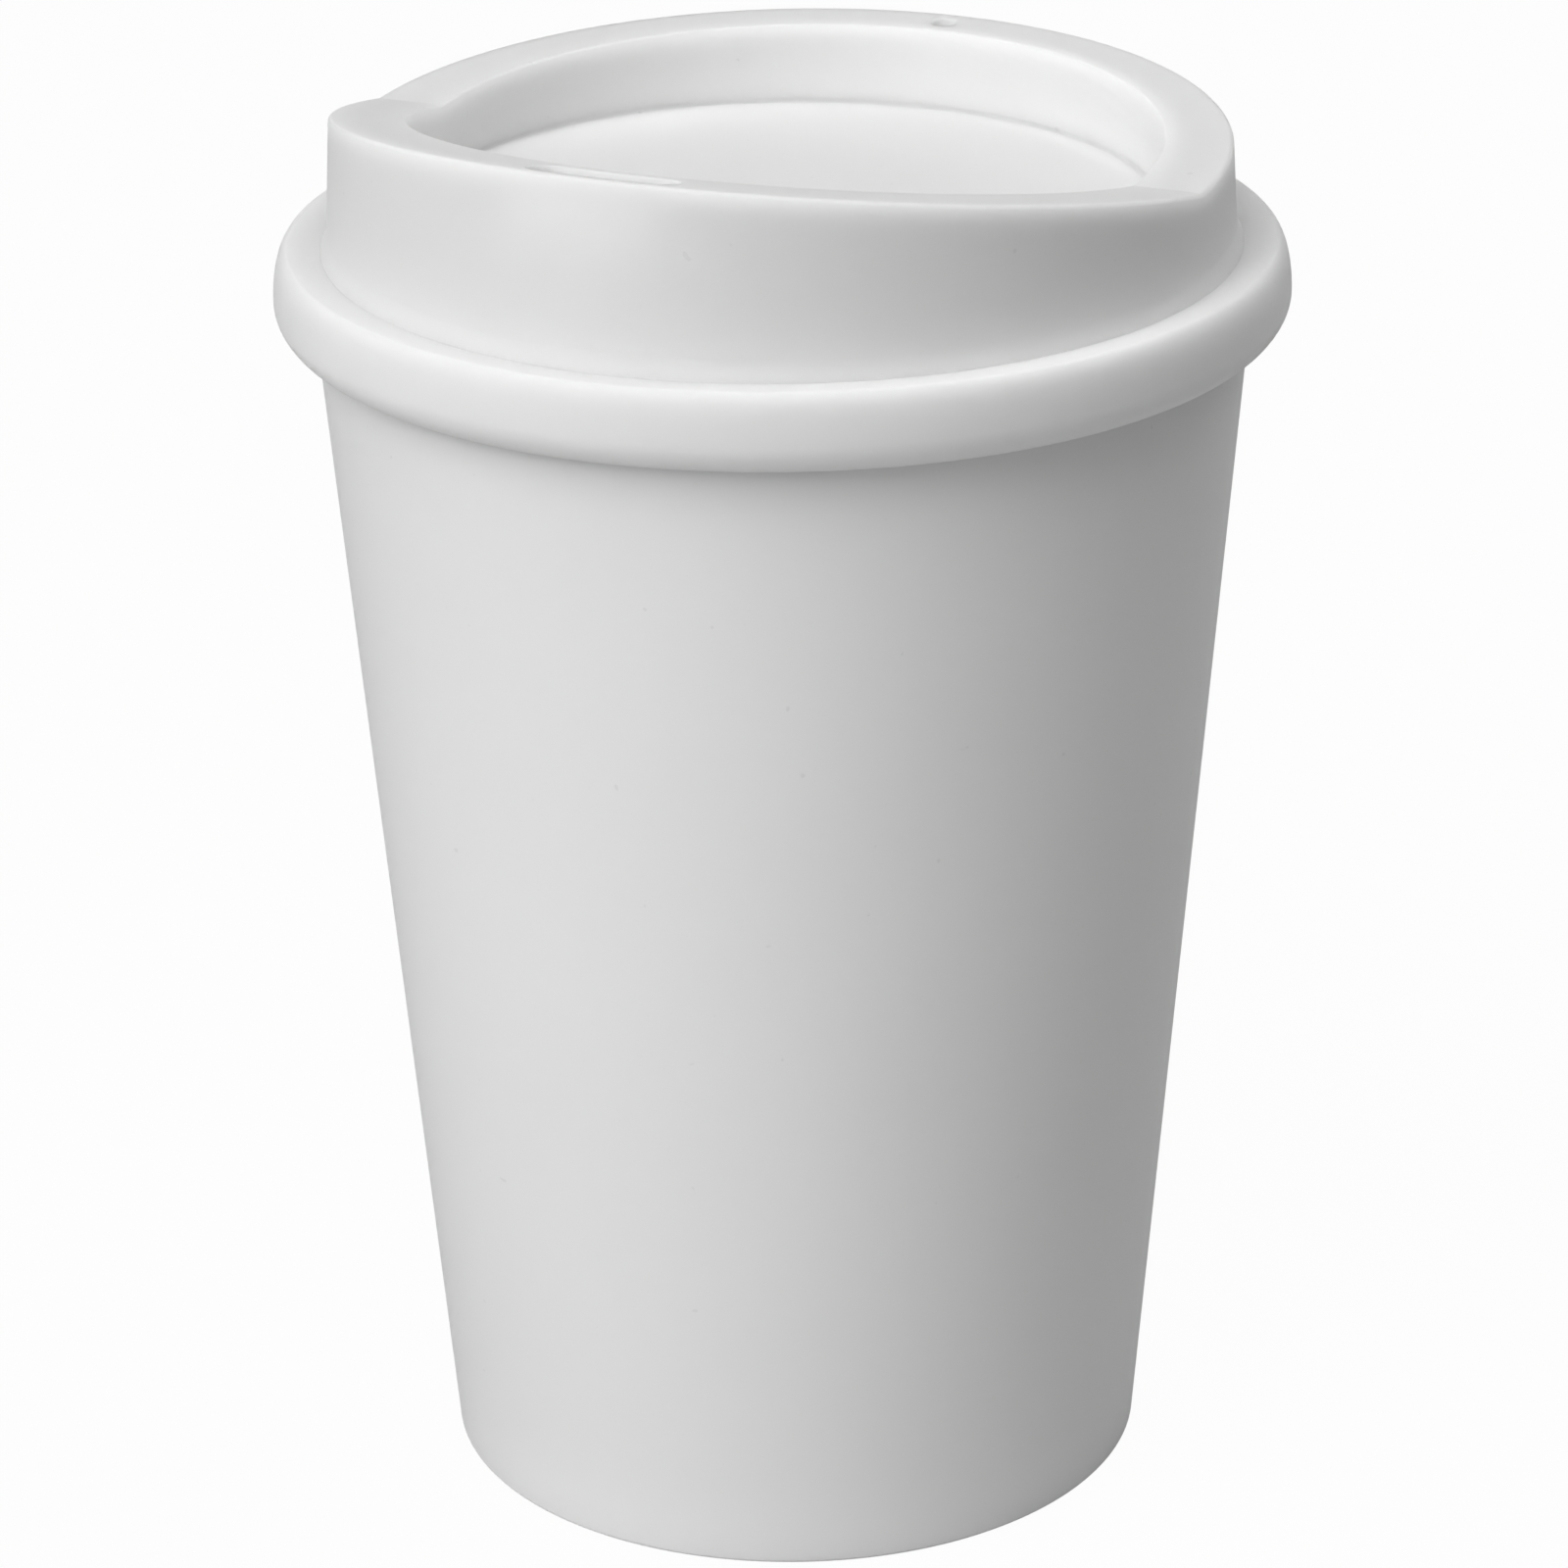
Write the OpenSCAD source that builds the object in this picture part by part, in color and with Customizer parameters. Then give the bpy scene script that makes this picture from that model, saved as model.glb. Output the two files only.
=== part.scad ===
// Reusable coffee cup: a tapered single wall cup and the push-on sip lid that snaps over its brim.
// Millimetres. The origin is the centre of the foot, +Z is up, and the sip slot is towards -Y.

/* [Cup] */
// Height of the cup, from the table to its brim
cup_h = 112; // [95:0.5:130]
// Outer radius of the wall at the foot
base_r = 31.3; // [28:0.1:34]
// Outer radius of the wall at the brim, without its bead
brim_r = 40.95; // [37:0.05:45]
// Thickness of the wall
wall_t = 1.8; // [1.3:0.1:2.4]
// Thickness of the floor
floor_t = 2.2; // [1.4:0.1:3.2]
// Height of the floor's underside above the table
foot_h = 2.5; // [1.5:0.1:4]
// Width of the foot ring
foot_w = 2.3; // [1.8:0.1:3.5]
// Radius of the foot's outer edge
foot_edge_r = 0.4; // [0.2:0.1:1.2]
// Radius between the wall and the floor, inside
floor_fillet_r = 3; // [1:0.5:6]

/* [Brim] */
// How far the bead stands out from the wall at the brim
bead_w = 1.1; // [0.7:0.05:1.6]
// Height of the bead
bead_h = 3.4; // [2.6:0.1:3.8]
// Radius of the bead's upper outer edge
bead_top_r = 1; // [0.3:0.1:1.3]
// Radius of the bead's lower edge
bead_low_r = 0.5; // [0.2:0.1:0.7]
// Radius of the brim's inner edge
brim_in_r = 0.6; // [0.2:0.1:0.6]

/* [Lid collar] */
// Gap all round between the bead and the inside of the collar
collar_gap = 0.25; // [0.2:0.05:0.5]
// Gap between the brim and the lid's seat
seat_gap = 0.1; // [0.05:0.05:0.3]
// Thickness of the collar's wall
collar_t = 1.7; // [1.4:0.1:2.4]
// Thickness of the collar over the brim
collar_top_t = 1.4; // [1.1:0.1:2.2]
// How far the collar hangs below the brim
collar_drop = 5.4; // [5.4:0.1:7.5]
// How far the collar's rounded shoulder reaches in from its side
collar_top_w = 1.4; // [0.6:0.1:2.8]
// Height of that shoulder
collar_top_h = 4.4; // [1.2:0.1:4.4]
// Radius of the collar's lower outer edge
collar_low_r = 2.6; // [0.4:0.1:2.8]
// Width of the flat between that edge and the inside of the collar
collar_lip = 0.1; // [0.1:0.1:0.6]
// How far the snap ridge stands in from the collar's wall
ridge_w = 0.15; // [0.05:0.05:0.15]
// Height of the snap ridge
ridge_h = 1.2; // [0.8:0.1:1.6]
// How deep the crease at the foot of the crown lies below the collar's top
crease_d = 0.3; // [0.1:0.1:0.6]

/* [Lid plug] */
// Gap between the plug and the inside of the cup
plug_gap = 0.3; // [0.2:0.05:0.6]
// Thickness of the plug
plug_t = 1.5; // [1.1:0.1:2]
// How far the plug reaches into the cup
plug_h = 8; // [5:0.5:14]
// Lead-in chamfer at the plug's lower edge
plug_lead = 0.5; // [0.2:0.1:0.8]

/* [Lid crown] */
// Thickness of the crown, of its top and of the recess
lid_t = 1.3; // [1:0.1:1.6]
// How far the crown stands in from the cup's outer wall at the brim
crown_inset = 2.1; // [1.6:0.1:2.4]
// Draft of the crown's outer face, in degrees
crown_draft = 3; // [0.5:0.5:4]
// How far the flare at the crown's foot stands out
flare_w = 0.65; // [0.3:0.05:0.9]
// Radius of the flare at the crown's foot
flare_r = 3.4; // [2:0.1:4]
// Height of the valley line above the collar's top
valley_h = 8; // [7:0.1:12]
// How far the valley line lies in front of the cup's axis
valley_front = 0.4; // [0:0.1:4]
// Slope of the top that rises to the sip slot, in degrees
front_slope = 11.3; // [6:0.1:14]
// Slope of the top that rises to the back, in degrees
rear_slope = 2.3; // [0:0.1:4]

/* [Lid recess] */
// Width of the crown's top between its outer face and the recess, at the valley
land_w = 6.4; // [6.2:0.05:8]
// How far the recess is set back from the cup's axis
recess_back = 1.2; // [0:0.1:1.4]
// Depth of the recess below the valley line
recess_d = 5.9; // [4:0.1:6.3]
// Draft of the recess wall, in degrees
recess_draft = 1.5; // [0.5:0.5:5]
// Radius between the recess wall and its floor
recess_fillet_r = 0.8; // [0.3:0.1:1.4]

/* [Lid openings] */
// Length of the sip slot along the rim, with its round ends
slot_l = 13.5; // [9:0.5:22]
// Distance between the slot and the walls on both its sides, of the recess and of the crown
slot_gap = 0.2; // [0:0.05:0.6]
// Diameter of the vent hole
vent_d = 2.2; // [1:0.1:2.3]
// Distance between the vent and the inside of the crown's wall
vent_gap = 0.15; // [0:0.05:0.3]

/* [Hidden] */
$fn = 128;

// Cup
taper = atan((brim_r - base_r) / cup_h);
wall_w = wall_t / cos(taper);
cup_floor_z = foot_h + floor_t;
bead_r = brim_r + bead_w;
bead_z = cup_h - bead_h;

// Lid, from the brim upwards
seat_z = cup_h + seat_gap;
collar_in_r = bead_r + collar_gap;
collar_r = collar_in_r + collar_t;
collar_low_z = cup_h - collar_drop;
collar_top_z = seat_z + collar_top_t;
collar_low_end = acos(max(0, 1 - (collar_t - collar_lip) / collar_low_r));
collar_low_cz = collar_low_z + collar_low_r * sin(collar_low_end);
shoulder_h = min(collar_top_h, 0.98 * (collar_top_z - collar_low_cz));
ridge_r = collar_in_r - ridge_w;
ridge_top_z = bead_z - ridge_w;
plug_low_z = cup_h - plug_h;
valley_z = collar_top_z + valley_h;
crown_r = brim_r - crown_inset;
recess_floor_z = valley_z - recess_d;
recess_r = crown_r - land_w;
peak_z = valley_z + (crown_r - valley_front) * tan(front_slope);
rear_z = valley_z + (crown_r + valley_front) * tan(rear_slope);
slot_in_r = recess_face(peak_z) - recess_back + lid_t + slot_gap;
slot_out_r = crown_face(peak_z) - lid_t - slot_gap;
slot_w = slot_out_r - slot_in_r;
slot_r = slot_in_r + slot_w / 2;
vent_r = crown_face(rear_z) - lid_t - vent_gap - vent_d / 2;
over = 1;
top_z = peak_z + over;

// The flare is an arc from the crown's drafted face to the crease on the collar
crease_z = collar_top_z - crease_d;
flare_end = acos(cos(crown_draft) - flare_w / flare_r);
flare_h = flare_r * (sin(flare_end) - sin(crown_draft));
flare_top_z = crease_z + flare_h;
flare_cx = crown_face(flare_top_z) + flare_r * cos(crown_draft);
flare_cz = flare_top_z + flare_r * sin(crown_draft);

// Outer and inner radius of the cup's wall, of the crown and of the recess at height z
function cup_out(z) = base_r + (brim_r - base_r) * z / cup_h;
function cup_in(z) = cup_out(z) - wall_w;
function crown_face(z) = crown_r + (valley_z - z) * tan(crown_draft);
function recess_face(z) = recess_r + (z - valley_z) * tan(recess_draft);
function plug_face(z) = cup_in(z) - plug_gap;

// Points along an arc with centre (cx, cz), from angle a0 to a1 in n steps
function arc(cx, cz, r, a0, a1, n) = oval(cx, cz, r, r, a0, a1, n);
// The same along an oval that reaches rx sideways and rz upwards
function oval(cx, cz, rx, rz, a0, a1, n) =
    [for (i = [0:n]) let (a = a0 + (a1 - a0) * i / n) [cx + rx * cos(a), cz + rz * sin(a)]];

// A tapered cup in one wall, on a low foot ring, with a bead round the outside of its brim
module cup() {
    fillet_cz = cup_floor_z + floor_fillet_r;
    fillet_cx = cup_in(0) + (fillet_cz * sin(taper) - floor_fillet_r) / cos(taper);
    color("whitesmoke")
        rotate_extrude()
            polygon(concat(
                [[0, foot_h], [base_r - foot_w, foot_h], [base_r - foot_w, 0]],
                arc(base_r - foot_edge_r * (1 - sin(taper)) / cos(taper), foot_edge_r, foot_edge_r,
                    -90, -taper, 4),
                [[cup_out(bead_z), bead_z]],
                arc(bead_r - bead_low_r, bead_z + bead_low_r, bead_low_r, -90, 0, 3),
                arc(bead_r - bead_top_r, cup_h - bead_top_r, bead_top_r, 0, 90, 4),
                arc(cup_in(cup_h) + brim_in_r, cup_h - brim_in_r, brim_in_r, 90, 180 - taper, 3),
                arc(fillet_cx, fillet_cz, floor_fillet_r, -taper, -90, 5),
                [[0, cup_floor_z]]
            ));
}

// Everything below the lid's top, which two planes make, meeting in a valley; drop lowers them
module below_top(drop) {
    reach = collar_r + over;
    rotate([90, 0, 90])
        linear_extrude(height = 2 * reach, center = true)
            polygon([
                [-reach, plug_low_z - over],
                [reach, plug_low_z - over],
                [reach, valley_z + (reach + valley_front) * tan(rear_slope) - drop],
                [-valley_front, valley_z - drop],
                [-reach, valley_z + (reach - valley_front) * tan(front_slope) - drop]
            ]);
}

// The lid's outside, turned: plug, seat on the brim, collar with its snap ridge, flare and crown
module lid_outside() {
    rotate_extrude()
        polygon(concat(
            [
                [0, plug_low_z],
                [plug_face(plug_low_z) - plug_lead, plug_low_z],
                [plug_face(plug_low_z + plug_lead), plug_low_z + plug_lead],
                [plug_face(seat_z), seat_z],
                [collar_in_r, seat_z],
                [collar_in_r, ridge_top_z],
                [ridge_r, ridge_top_z - ridge_h / 3],
                [ridge_r, ridge_top_z - 2 * ridge_h / 3],
                [collar_in_r, ridge_top_z - ridge_h],
                [collar_in_r, collar_low_z]
            ],
            arc(collar_r - collar_low_r, collar_low_cz, collar_low_r, -collar_low_end, 0, 6),
            oval(collar_r - collar_top_w, collar_top_z - shoulder_h, collar_top_w, shoulder_h, 0, 90, 8),
            arc(flare_cx, flare_cz, flare_r, 180 + flare_end, 180 + crown_draft, 5),
            [[crown_face(top_z), top_z], [0, top_z]]
        ));
}

// The hollow under the lid, inside the plug and the crown
module lid_inside() {
    rotate_extrude()
        polygon([
            [0, plug_low_z - over],
            [plug_face(plug_low_z) - plug_t, plug_low_z - over],
            [plug_face(plug_low_z) - plug_t, plug_low_z],
            [plug_face(seat_z) - plug_t, seat_z],
            [crown_face(collar_top_z) - lid_t, collar_top_z],
            [crown_face(top_z) - lid_t, top_z],
            [0, top_z]
        ]);
}

// The round recess in the lid's top, grown outwards and downwards by a thickness
module recess(grow) {
    low_z = recess_floor_z - grow;
    round_r = recess_fillet_r + grow;
    translate([0, recess_back, 0])
        rotate_extrude()
            polygon(concat(
                [[0, low_z]],
                arc(recess_face(recess_floor_z) + grow - round_r, low_z + round_r, round_r,
                    -90, -recess_draft, 5),
                [[recess_face(top_z) + grow, top_z], [0, top_z]]
            ));
}

// The sip slot, bent along the rim, with round ends
module sip_slot() {
    slot_a = (slot_l - slot_w) / slot_r * 180 / PI;
    rotate([0, 0, -90 - slot_a / 2])
        rotate_extrude(angle = slot_a)
            translate([slot_in_r, valley_z])
                square([slot_w, top_z - valley_z]);
    for (side = [-1, 1])
        rotate([0, 0, side * slot_a / 2])
            translate([0, -slot_r, valley_z])
                cylinder(d = slot_w, h = top_z - valley_z);
}

// A small round hole through the back of the rim, opposite the slot, that lets air in
module vent() {
    translate([0, vent_r, valley_z - lid_t])
        cylinder(d = vent_d, h = top_z - valley_z + lid_t);
}

// A one piece lid: it plugs the mouth, snaps over the bead and has a raised crown with a sunken recess
module lid() {
    color("white")
        difference() {
            intersection() {
                lid_outside();
                below_top(0);
            }
            difference() {
                intersection() {
                    lid_inside();
                    below_top(lid_t);
                }
                recess(lid_t);
            }
            recess(0);
            sip_slot();
            vent();
        }
}

cup();
lid();
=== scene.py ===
from math import cos, radians, sin, tan, tau

import bmesh
import bpy
from mathutils import Matrix, Vector


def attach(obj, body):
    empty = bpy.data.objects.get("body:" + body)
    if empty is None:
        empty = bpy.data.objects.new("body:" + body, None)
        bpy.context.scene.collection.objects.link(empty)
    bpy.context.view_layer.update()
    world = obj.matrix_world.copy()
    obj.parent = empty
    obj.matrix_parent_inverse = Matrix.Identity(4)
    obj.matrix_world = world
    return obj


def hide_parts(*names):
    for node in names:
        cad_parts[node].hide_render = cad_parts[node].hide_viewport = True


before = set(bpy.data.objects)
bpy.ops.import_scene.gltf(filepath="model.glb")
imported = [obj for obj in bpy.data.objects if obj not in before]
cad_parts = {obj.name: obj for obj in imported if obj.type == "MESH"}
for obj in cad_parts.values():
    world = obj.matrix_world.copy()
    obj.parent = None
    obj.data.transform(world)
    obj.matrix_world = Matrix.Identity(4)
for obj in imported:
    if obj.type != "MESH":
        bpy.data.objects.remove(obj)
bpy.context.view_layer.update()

cup_h = 112.0
base_r = 31.3
brim_r = 40.95
wall_w = 1.807
bead_z = 108.6
bead_r = 42.05
cup_floor_z = 4.7
foot_ring_w = 2.3
foot_hollow_z = 2.5


def cup_out(z):
    return base_r + (brim_r - base_r) * z / cup_h


def profile(bm, corners):
    """A line through corners given as (radius, height, rounding, steps), with each corner rounded off."""
    line = [bm.verts.new((x, 0, z)) for x, z, *_ in corners]
    for start, end in zip(line, line[1:]):
        bm.edges.new((start, end))
    for i, (_, _, rounding, steps) in enumerate(corners):
        if rounding:
            here = Vector(corners[i][:2])
            turn = (here - Vector(corners[i - 1][:2])).angle(Vector(corners[i + 1][:2]) - here)
            bmesh.ops.bevel(
                bm, geom=[line[i]], affect="VERTICES", offset_type="OFFSET", offset=rounding * tan(turn / 2),
                segments=steps, profile=0.5, clamp_overlap=False, material=-1,
            )


def turned(bm, steps=256):
    """Turns the line full circle round the upright axis and closes it there."""
    bmesh.ops.spin(
        bm, geom=bm.verts[:] + bm.edges[:], cent=(0, 0, 0), axis=(0, 0, 1), dvec=(0, 0, 0), angle=tau, steps=steps,
        use_merge=True, use_duplicate=False,
    )
    bmesh.ops.remove_doubles(bm, verts=bm.verts, dist=0.0005)
    bmesh.ops.recalc_face_normals(bm, faces=bm.faces)


def finished(bm, name):
    """Makes a mesh in millimetres a smooth piece in metres, sharp only at real corners and with true flats."""
    bmesh.ops.scale(bm, vec=(0.001, 0.001, 0.001), verts=bm.verts)
    for face in bm.faces:
        face.smooth = True
    for edge in bm.edges:
        if edge.calc_face_angle(0) > radians(38):
            edge.smooth = False
    mesh = bpy.data.meshes.new(name)
    bm.to_mesh(mesh)
    bm.free()
    piece = bpy.data.objects.new(name, mesh)
    bpy.context.scene.collection.objects.link(piece)
    flats = piece.modifiers.new("flats", "WEIGHTED_NORMAL")
    flats.keep_sharp = True
    return piece


bm = bmesh.new()
profile(bm, [
    (0, foot_hollow_z, 0, 0),
    (base_r - foot_ring_w, foot_hollow_z, 0.5, 4),
    (base_r - foot_ring_w, 0, 0.35, 4),
    (base_r, 0, 0.4, 6),
    (cup_out(bead_z), bead_z, 0.15, 2),
    (bead_r, bead_z, 0.5, 5),
    (bead_r, cup_h, 1.0, 8),
    (cup_out(cup_h) - wall_w, cup_h, 0.6, 6),
    (cup_out(cup_floor_z) - wall_w, cup_floor_z, 3.0, 12),
    (0, cup_floor_z, 0, 0),
])
turned(bm)
cup = finished(bm, "cup_moulding")


def polypropylene(name, colour, glow, grain_size, grain_depth):
    """White polypropylene: a faint uneven tone, tiny specks, slow waves from cooling and the tool's fine grain."""
    material = bpy.data.materials.new(name)
    material.use_nodes = True
    nodes = material.node_tree.nodes
    links = material.node_tree.links
    shader = nodes["Principled BSDF"]
    shader.inputs["IOR"].default_value = 1.49
    shader.inputs["Specular IOR Level"].default_value = 0.2
    shader.inputs["Subsurface Weight"].default_value = glow
    shader.inputs["Subsurface Radius"].default_value = (1.0, 1.0, 1.0)
    shader.inputs["Subsurface Scale"].default_value = 0.004
    place = nodes.new("ShaderNodeTexCoord").outputs["Object"]

    def noise(scale, detail=2.0):
        node = nodes.new("ShaderNodeTexNoise")
        node.inputs["Scale"].default_value = scale
        node.inputs["Detail"].default_value = detail
        links.new(place, node.inputs["Vector"])
        return node.outputs["Fac"]

    def ranged(value, low, high, to_low, to_high):
        node = nodes.new("ShaderNodeMapRange")
        node.inputs["From Min"].default_value = low
        node.inputs["From Max"].default_value = high
        node.inputs["To Min"].default_value = to_low
        node.inputs["To Max"].default_value = to_high
        links.new(value, node.inputs["Value"])
        return node.outputs["Result"]

    def mixed(share, one, other):
        node = nodes.new("ShaderNodeMix")
        node.data_type = "RGBA"
        links.new(share, node.inputs[0])
        for socket, value in ((node.inputs[6], one), (node.inputs[7], other)):
            if isinstance(value, tuple):
                socket.default_value = (*value, 1)
            else:
                links.new(value, socket)
        return node.outputs[2]

    tone = mixed(ranged(noise(22), 0.35, 0.65, 0, 1), colour, tuple(0.975 * c for c in colour))
    specks = ranged(noise(1100, 0), 0.86, 0.90, 0, 0.2)
    links.new(mixed(specks, tone, tuple(0.6 * c for c in colour)), shader.inputs["Base Color"])
    links.new(ranged(noise(60, 4), 0.3, 0.7, 0.66, 0.74), shader.inputs["Roughness"])
    waves = nodes.new("ShaderNodeBump")
    waves.inputs["Strength"].default_value = 1.0
    waves.inputs["Distance"].default_value = 0.00003
    links.new(noise(45, 1), waves.inputs["Height"])
    grain = nodes.new("ShaderNodeBump")
    grain.inputs["Strength"].default_value = 1.0
    grain.inputs["Distance"].default_value = grain_depth / 1000
    links.new(noise(1000 / grain_size, 3), grain.inputs["Height"])
    links.new(waves.outputs["Normal"], grain.inputs["Normal"])
    links.new(grain.outputs["Normal"], shader.inputs["Normal"])
    return material


cup.data.materials.append(polypropylene("cup_polypropylene", (0.91, 0.91, 0.91), 0.25, 0.35, 0.006))
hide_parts("cup")
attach(cup, "cup")

# The lid: a second moulding in the same white plastic, pushed on by hand. Its collar snaps over the cup's bead, its
# plug closes the mouth, and its crown holds a round recess. Two planes that meet in a valley cut the rim, which is
# high in front, where the sip slot is, and low at the back, where a small vent lets air in.
seat_z = 112.1
collar_r = 44.0
collar_in_r = 42.30
collar_low_z = 106.6
collar_top_z = 113.5
shoulder_w = 1.4
shoulder_h = 4.41
collar_low_turn = 2.6
collar_lip = 0.1
ridge_r = 42.15
ridge_z = 107.25
ridge_h = 1.2
plug_low_z = 104.0
plug_t = 1.5
plug_gap = 0.3
crease_r = 39.839
crease_z = 113.2
flare_r = 39.242
flare_z = 114.017
valley_z = 121.5
lid_t = 1.3
crown_r = 38.85
crown_draft = tan(radians(3))
recess_r = 32.45
recess_back = 1.2
recess_floor_z = 115.6
recess_draft = tan(radians(1.5))
valley_y = -0.4
front_slope = tan(radians(11.3))
rear_slope = tan(radians(2.3))
slot_r = 34.949
slot_w = 3.996
slot_l = 13.5
vent_y = 36.217
vent_d = 2.2
hole_edge = 0.22


def plug_face(z):
    return cup_out(z) - wall_w - plug_gap


shoulder = [
    (collar_r - shoulder_w * (1 - cos(radians(a))), collar_top_z - shoulder_h * (1 - sin(radians(a))), 0, 0)
    for a in range(90, -1, -6)
]
bm = bmesh.new()
profile(bm, [
    (0, recess_floor_z, 0, 0),
    (recess_r - (valley_z - recess_floor_z) * recess_draft, recess_floor_z, 0.4, 6),
    (recess_r, valley_z, 0.2, 4),
    (crown_r, valley_z, 0.4, 6),
    (flare_r, flare_z, 3.4, 12),
    (crease_r, crease_z, 0, 0),
    *shoulder,
    (collar_r, collar_low_z + 0.667, collar_low_turn, 12),
    (collar_in_r + collar_lip, collar_low_z, 0, 0),
    (collar_in_r, collar_low_z, 0, 0),
    (collar_in_r, ridge_z, 0, 0),
    (ridge_r, ridge_z + ridge_h / 3, 0.3, 2),
    (ridge_r, ridge_z + 2 * ridge_h / 3, 0.3, 2),
    (collar_in_r, ridge_z + ridge_h, 0, 0),
    (collar_in_r, seat_z, 0, 0),
    (plug_face(seat_z), seat_z, 0, 0),
    (plug_face(plug_low_z), plug_low_z, 0.7, 5),
    (plug_face(plug_low_z) - plug_t, plug_low_z, 0.3, 3),
    (plug_face(seat_z) - plug_t, seat_z, 0, 0),
    (crown_r + (valley_z - collar_top_z) * crown_draft - lid_t, collar_top_z, 0, 0),
    (crown_r + lid_t * crown_draft - lid_t, valley_z - lid_t, 0, 0),
    (recess_r - lid_t * recess_draft + lid_t, valley_z - lid_t, 0, 0),
    (recess_r - (valley_z - recess_floor_z + lid_t) * recess_draft + lid_t, recess_floor_z - lid_t, 2.3, 10),
    (0, recess_floor_z - lid_t, 0, 0),
])
turned(bm)
between_walls_r = 34.5
in_recess = [v for v in bm.verts if v.co.xy.length < between_walls_r]
bmesh.ops.translate(bm, vec=(0, recess_back, 0), verts=in_recess)


def opening(half_width):
    """The side of a cutter for a hole in the rim, flared at the top so that the hole's edge comes out rounded."""
    bm = bmesh.new()
    profile(bm, [
        (0, valley_z - 3, 0, 0),
        (half_width, valley_z - 3, 0, 0),
        (half_width, valley_z + 0.03, hole_edge, 4),
        (half_width + hole_edge, valley_z + 0.03, 0, 0),
        (half_width + hole_edge, valley_z + 2, 0, 0),
        (0, valley_z + 2, 0, 0),
    ])
    return bm


def unfinished(bm, name):
    mesh = bpy.data.meshes.new(name)
    bm.to_mesh(mesh)
    bm.free()
    piece = bpy.data.objects.new(name, mesh)
    bpy.context.scene.collection.objects.link(piece)
    return piece


slot_turn = (slot_l - slot_w) / slot_r
slot = opening(slot_w / 2)
bmesh.ops.translate(slot, vec=(slot_r, 0, 0), verts=slot.verts)
bmesh.ops.spin(
    slot, geom=slot.verts[:] + slot.edges[:], cent=(slot_r, 0, 0), axis=(0, 0, 1), dvec=(0, 0, 0), angle=-tau / 2,
    steps=24, use_merge=False, use_duplicate=False,
)
bmesh.ops.remove_doubles(slot, verts=slot.verts, dist=0.0005)
across = [e for e in slot.edges if all(abs(v.co.y) < 0.0005 for v in e.verts)]
far_end = bmesh.ops.spin(
    slot, geom=list({v for e in across for v in e.verts}) + across, cent=(0, 0, 0), axis=(0, 0, 1), dvec=(0, 0, 0),
    angle=slot_turn, steps=24, use_merge=False, use_duplicate=False,
)["geom_last"]
outer = [
    e for e in far_end if isinstance(e, bmesh.types.BMEdge) and all(v.co.xy.length > slot_r - 0.001 for v in e.verts)
]
bmesh.ops.spin(
    slot, geom=list({v for e in outer for v in e.verts}) + outer,
    cent=(slot_r * cos(slot_turn), slot_r * sin(slot_turn), 0), axis=(0, 0, 1), dvec=(0, 0, 0), angle=tau / 2,
    steps=24, use_merge=False, use_duplicate=False,
)
bmesh.ops.remove_doubles(slot, verts=slot.verts, dist=0.002)
bmesh.ops.rotate(
    slot, cent=(0, 0, 0), matrix=Matrix.Rotation(radians(-90) - slot_turn / 2, 3, "Z"), verts=slot.verts,
)
bmesh.ops.recalc_face_normals(slot, faces=slot.faces)
vent = opening(vent_d / 2)
turned(vent, 48)
bmesh.ops.translate(vent, vec=(0, vent_y, 0), verts=vent.verts)

blank = unfinished(bm, "blank")
cutters = [unfinished(slot, "slot_cutter"), unfinished(vent, "vent_cutter")]
for cutter in cutters:
    cut = blank.modifiers.new("cut", "BOOLEAN")
    cut.object = cutter
    cut.operation = "DIFFERENCE"
    cut.solver = "EXACT"
bm = bmesh.new()
bm.from_object(blank, bpy.context.evaluated_depsgraph_get())
for used in [blank, *cutters]:
    bpy.data.objects.remove(used)

rim = [f for f in bm.faces if max(v.co.z for v in f.verts) > 119]
rim += list({e for f in rim for e in f.edges}) + list({v for f in rim for v in f.verts})
bmesh.ops.bisect_plane(bm, geom=rim, plane_co=(0, valley_y, 0), plane_no=(0, 1, 0), dist=0.0001)


# The two planes: all that stands above the valley's level is lifted with them, and the walls keep their draft.
recess_side_r = 33.82
crown_side_r = 37.58


def rise(y):
    return max((valley_y - y) * front_slope, (y - valley_y) * rear_slope)


for v in bm.verts:
    if v.co.z > valley_z - lid_t - 0.05:
        from_recess = v.co.xy - Vector((0, recess_back))
        if from_recess.length < recess_side_r:
            v.co.xy += from_recess.normalized() * rise(v.co.y) * recess_draft
        elif v.co.xy.length > crown_side_r:
            v.co.xy -= v.co.xy.normalized() * rise(v.co.y) * crown_draft
        v.co.z += rise(v.co.y)
for edge in bm.edges:
    if all(abs(v.co.y - valley_y) < 0.001 and v.co.z > 120 for v in edge.verts):
        edge.smooth = False
lid = finished(bm, "lid_moulding")
# Painted light: the lid's white is set lighter than the cup's (0.958 against 0.91), though both are the same plastic,
# so that the shaded walls of its recess come out brighter, as if more light bounced round inside it.
lid.data.materials.append(polypropylene("lid_polypropylene", (0.958, 0.958, 0.958), 1.0, 0.5, 0.005))
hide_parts("lid")
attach(lid, "lid")

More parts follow.
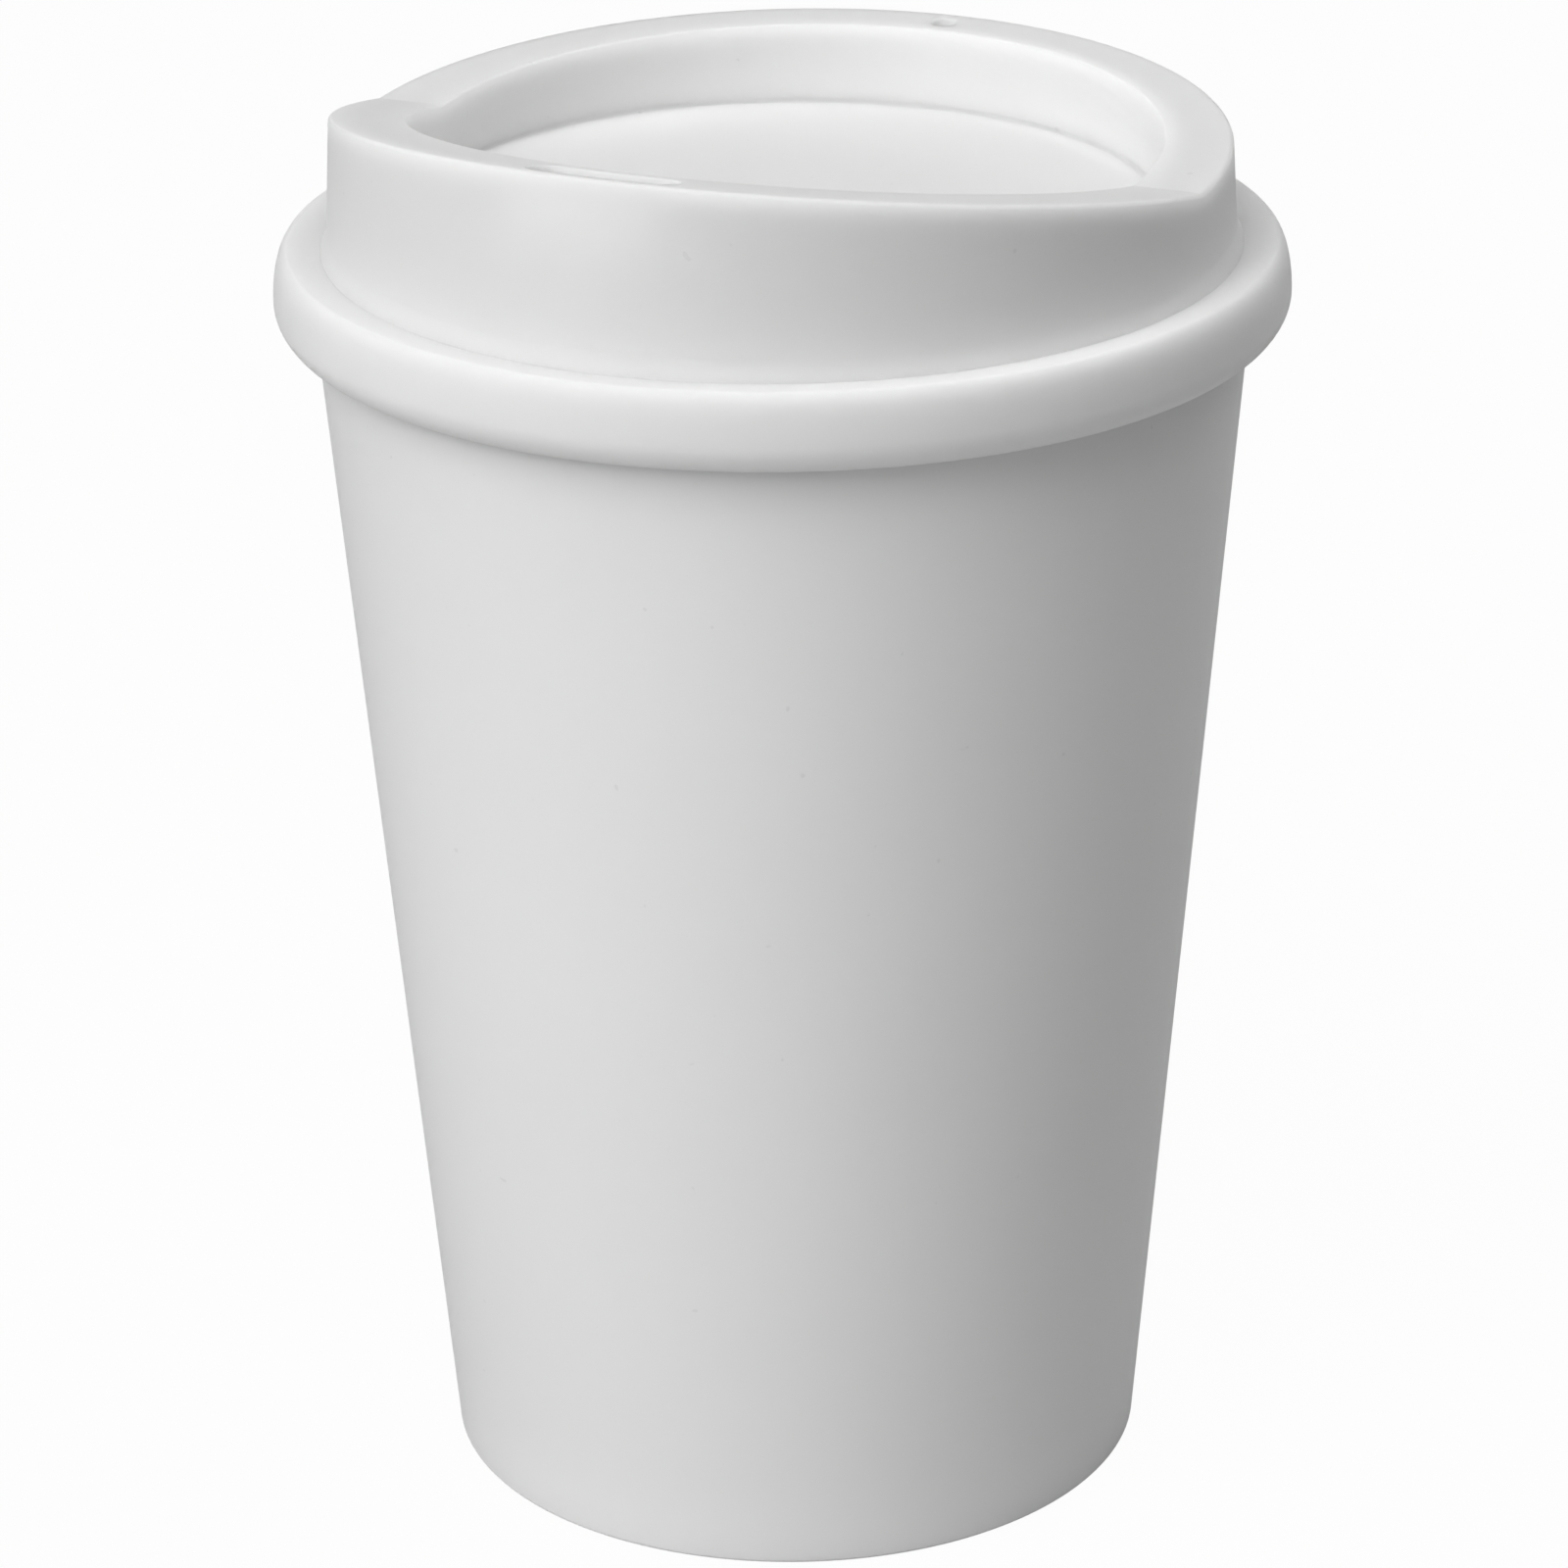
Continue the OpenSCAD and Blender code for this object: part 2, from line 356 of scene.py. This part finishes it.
# The place it stands on: a table that the camera sees washed out to white, as it sees the backdrop, with only a trace
# of the cup's own shadow. Its own tone is duller, so that little light comes up from it under the collar.
table = bmesh.new()
bmesh.ops.create_circle(table, cap_ends=True, radius=6.0, segments=96)
bmesh.ops.translate(table, vec=(0, 0, -0.0002), verts=table.verts)
floor = bpy.data.objects.new("floor", bpy.data.meshes.new("floor"))
table.to_mesh(floor.data)
table.free()
bpy.context.scene.collection.objects.link(floor)
paper = bpy.data.materials.new("white_paper")
paper.use_nodes = True
nodes = paper.node_tree.nodes
links = paper.node_tree.links
sheet = nodes["Principled BSDF"]
sheet.inputs["Base Color"].default_value = (0.5, 0.5, 0.5, 1)
sheet.inputs["Roughness"].default_value = 0.9
sheet.inputs["Specular IOR Level"].default_value = 0.1
white = nodes.new("ShaderNodeEmission")
white.inputs["Color"].default_value = (1, 1, 1, 1)
white.inputs["Strength"].default_value = 1.0
seen = nodes.new("ShaderNodeLightPath")
washed = nodes.new("ShaderNodeMath")
washed.operation = "MULTIPLY"
washed.inputs[1].default_value = 0.97
links.new(seen.outputs["Is Camera Ray"], washed.inputs[0])
blend = nodes.new("ShaderNodeMixShader")
links.new(washed.outputs[0], blend.inputs["Fac"])
links.new(sheet.outputs["BSDF"], blend.inputs[1])
links.new(white.outputs["Emission"], blend.inputs[2])
links.new(blend.outputs["Shader"], nodes["Material Output"].inputs["Surface"])
floor.data.materials.append(paper)

world = bpy.data.worlds.new("white_backdrop")
bpy.context.scene.world = world
world.use_nodes = True
nodes = world.node_tree.nodes
links = world.node_tree.links
room = nodes["Background"]
room.inputs["Color"].default_value = (1, 1, 1, 1)
room.inputs["Strength"].default_value = 0.0
backdrop = nodes.new("ShaderNodeBackground")
backdrop.inputs["Color"].default_value = (1, 1, 1, 1)
backdrop.inputs["Strength"].default_value = 1.0
seen = nodes.new("ShaderNodeLightPath")
blend = nodes.new("ShaderNodeMixShader")
links.new(seen.outputs["Is Camera Ray"], blend.inputs["Fac"])
links.new(room.outputs["Background"], blend.inputs[1])
links.new(backdrop.outputs["Background"], blend.inputs[2])
links.new(blend.outputs["Shader"], nodes["World Output"].inputs["Surface"])

# The lights: seven round soft boxes 1.6 m from the cup. The strongest is on the left in front, so that the cup darkens
# gently towards the right while the lid's top stays bright.


def soft_box(name, turn, lift, power):
    """A lamp turned so many degrees from the front towards the right, lifted so many above the table."""
    lamp = bpy.data.lights.new(name, "AREA")
    lamp.shape = "DISK"
    lamp.size = 1.2
    lamp.energy = power
    turn, lift = radians(turn), radians(lift)
    away = Vector((sin(turn) * cos(lift), -cos(turn) * cos(lift), sin(lift)))
    box = bpy.data.objects.new(name, lamp)
    box.location = Vector((0, 0, 0.065)) + 1.6 * away
    box.rotation_euler = (-away).to_track_quat("-Z", "Y").to_euler()
    bpy.context.scene.collection.objects.link(box)


soft_box("left_soft_box", -25.6, 38, 14.1)
soft_box("front_soft_box", -0.6, 25, 4.2)
soft_box("front_high_soft_box", -5.6, 60, 4.4)
soft_box("top_soft_box", 24.4, 68, 4.9)
soft_box("right_soft_box", 114.4, 35, 1.6)
soft_box("rear_high_soft_box", 149.4, 50, 7.1)
soft_box("rear_low_soft_box", 164.4, 8, 2.6)

# The camera looks down a little on the cup from the front, turned to the right of its sip slot, through a long lens.
camera_data = bpy.data.cameras.new("camera")
camera_data.lens = 138.32
camera_data.sensor_width = 36.0
camera = bpy.data.objects.new("camera", camera_data)
camera.matrix_world = (
    Matrix.Translation((0.20613, -0.45442, 0.26858))
    @ Matrix.Rotation(radians(24.447), 4, "Z")
    @ Matrix.Rotation(radians(90 - 22.495), 4, "X")
    @ Matrix.Rotation(-0.0127, 4, "Z")
)
bpy.context.scene.collection.objects.link(camera)
bpy.context.scene.camera = camera

bpy.context.scene.view_settings.view_transform = "Standard"
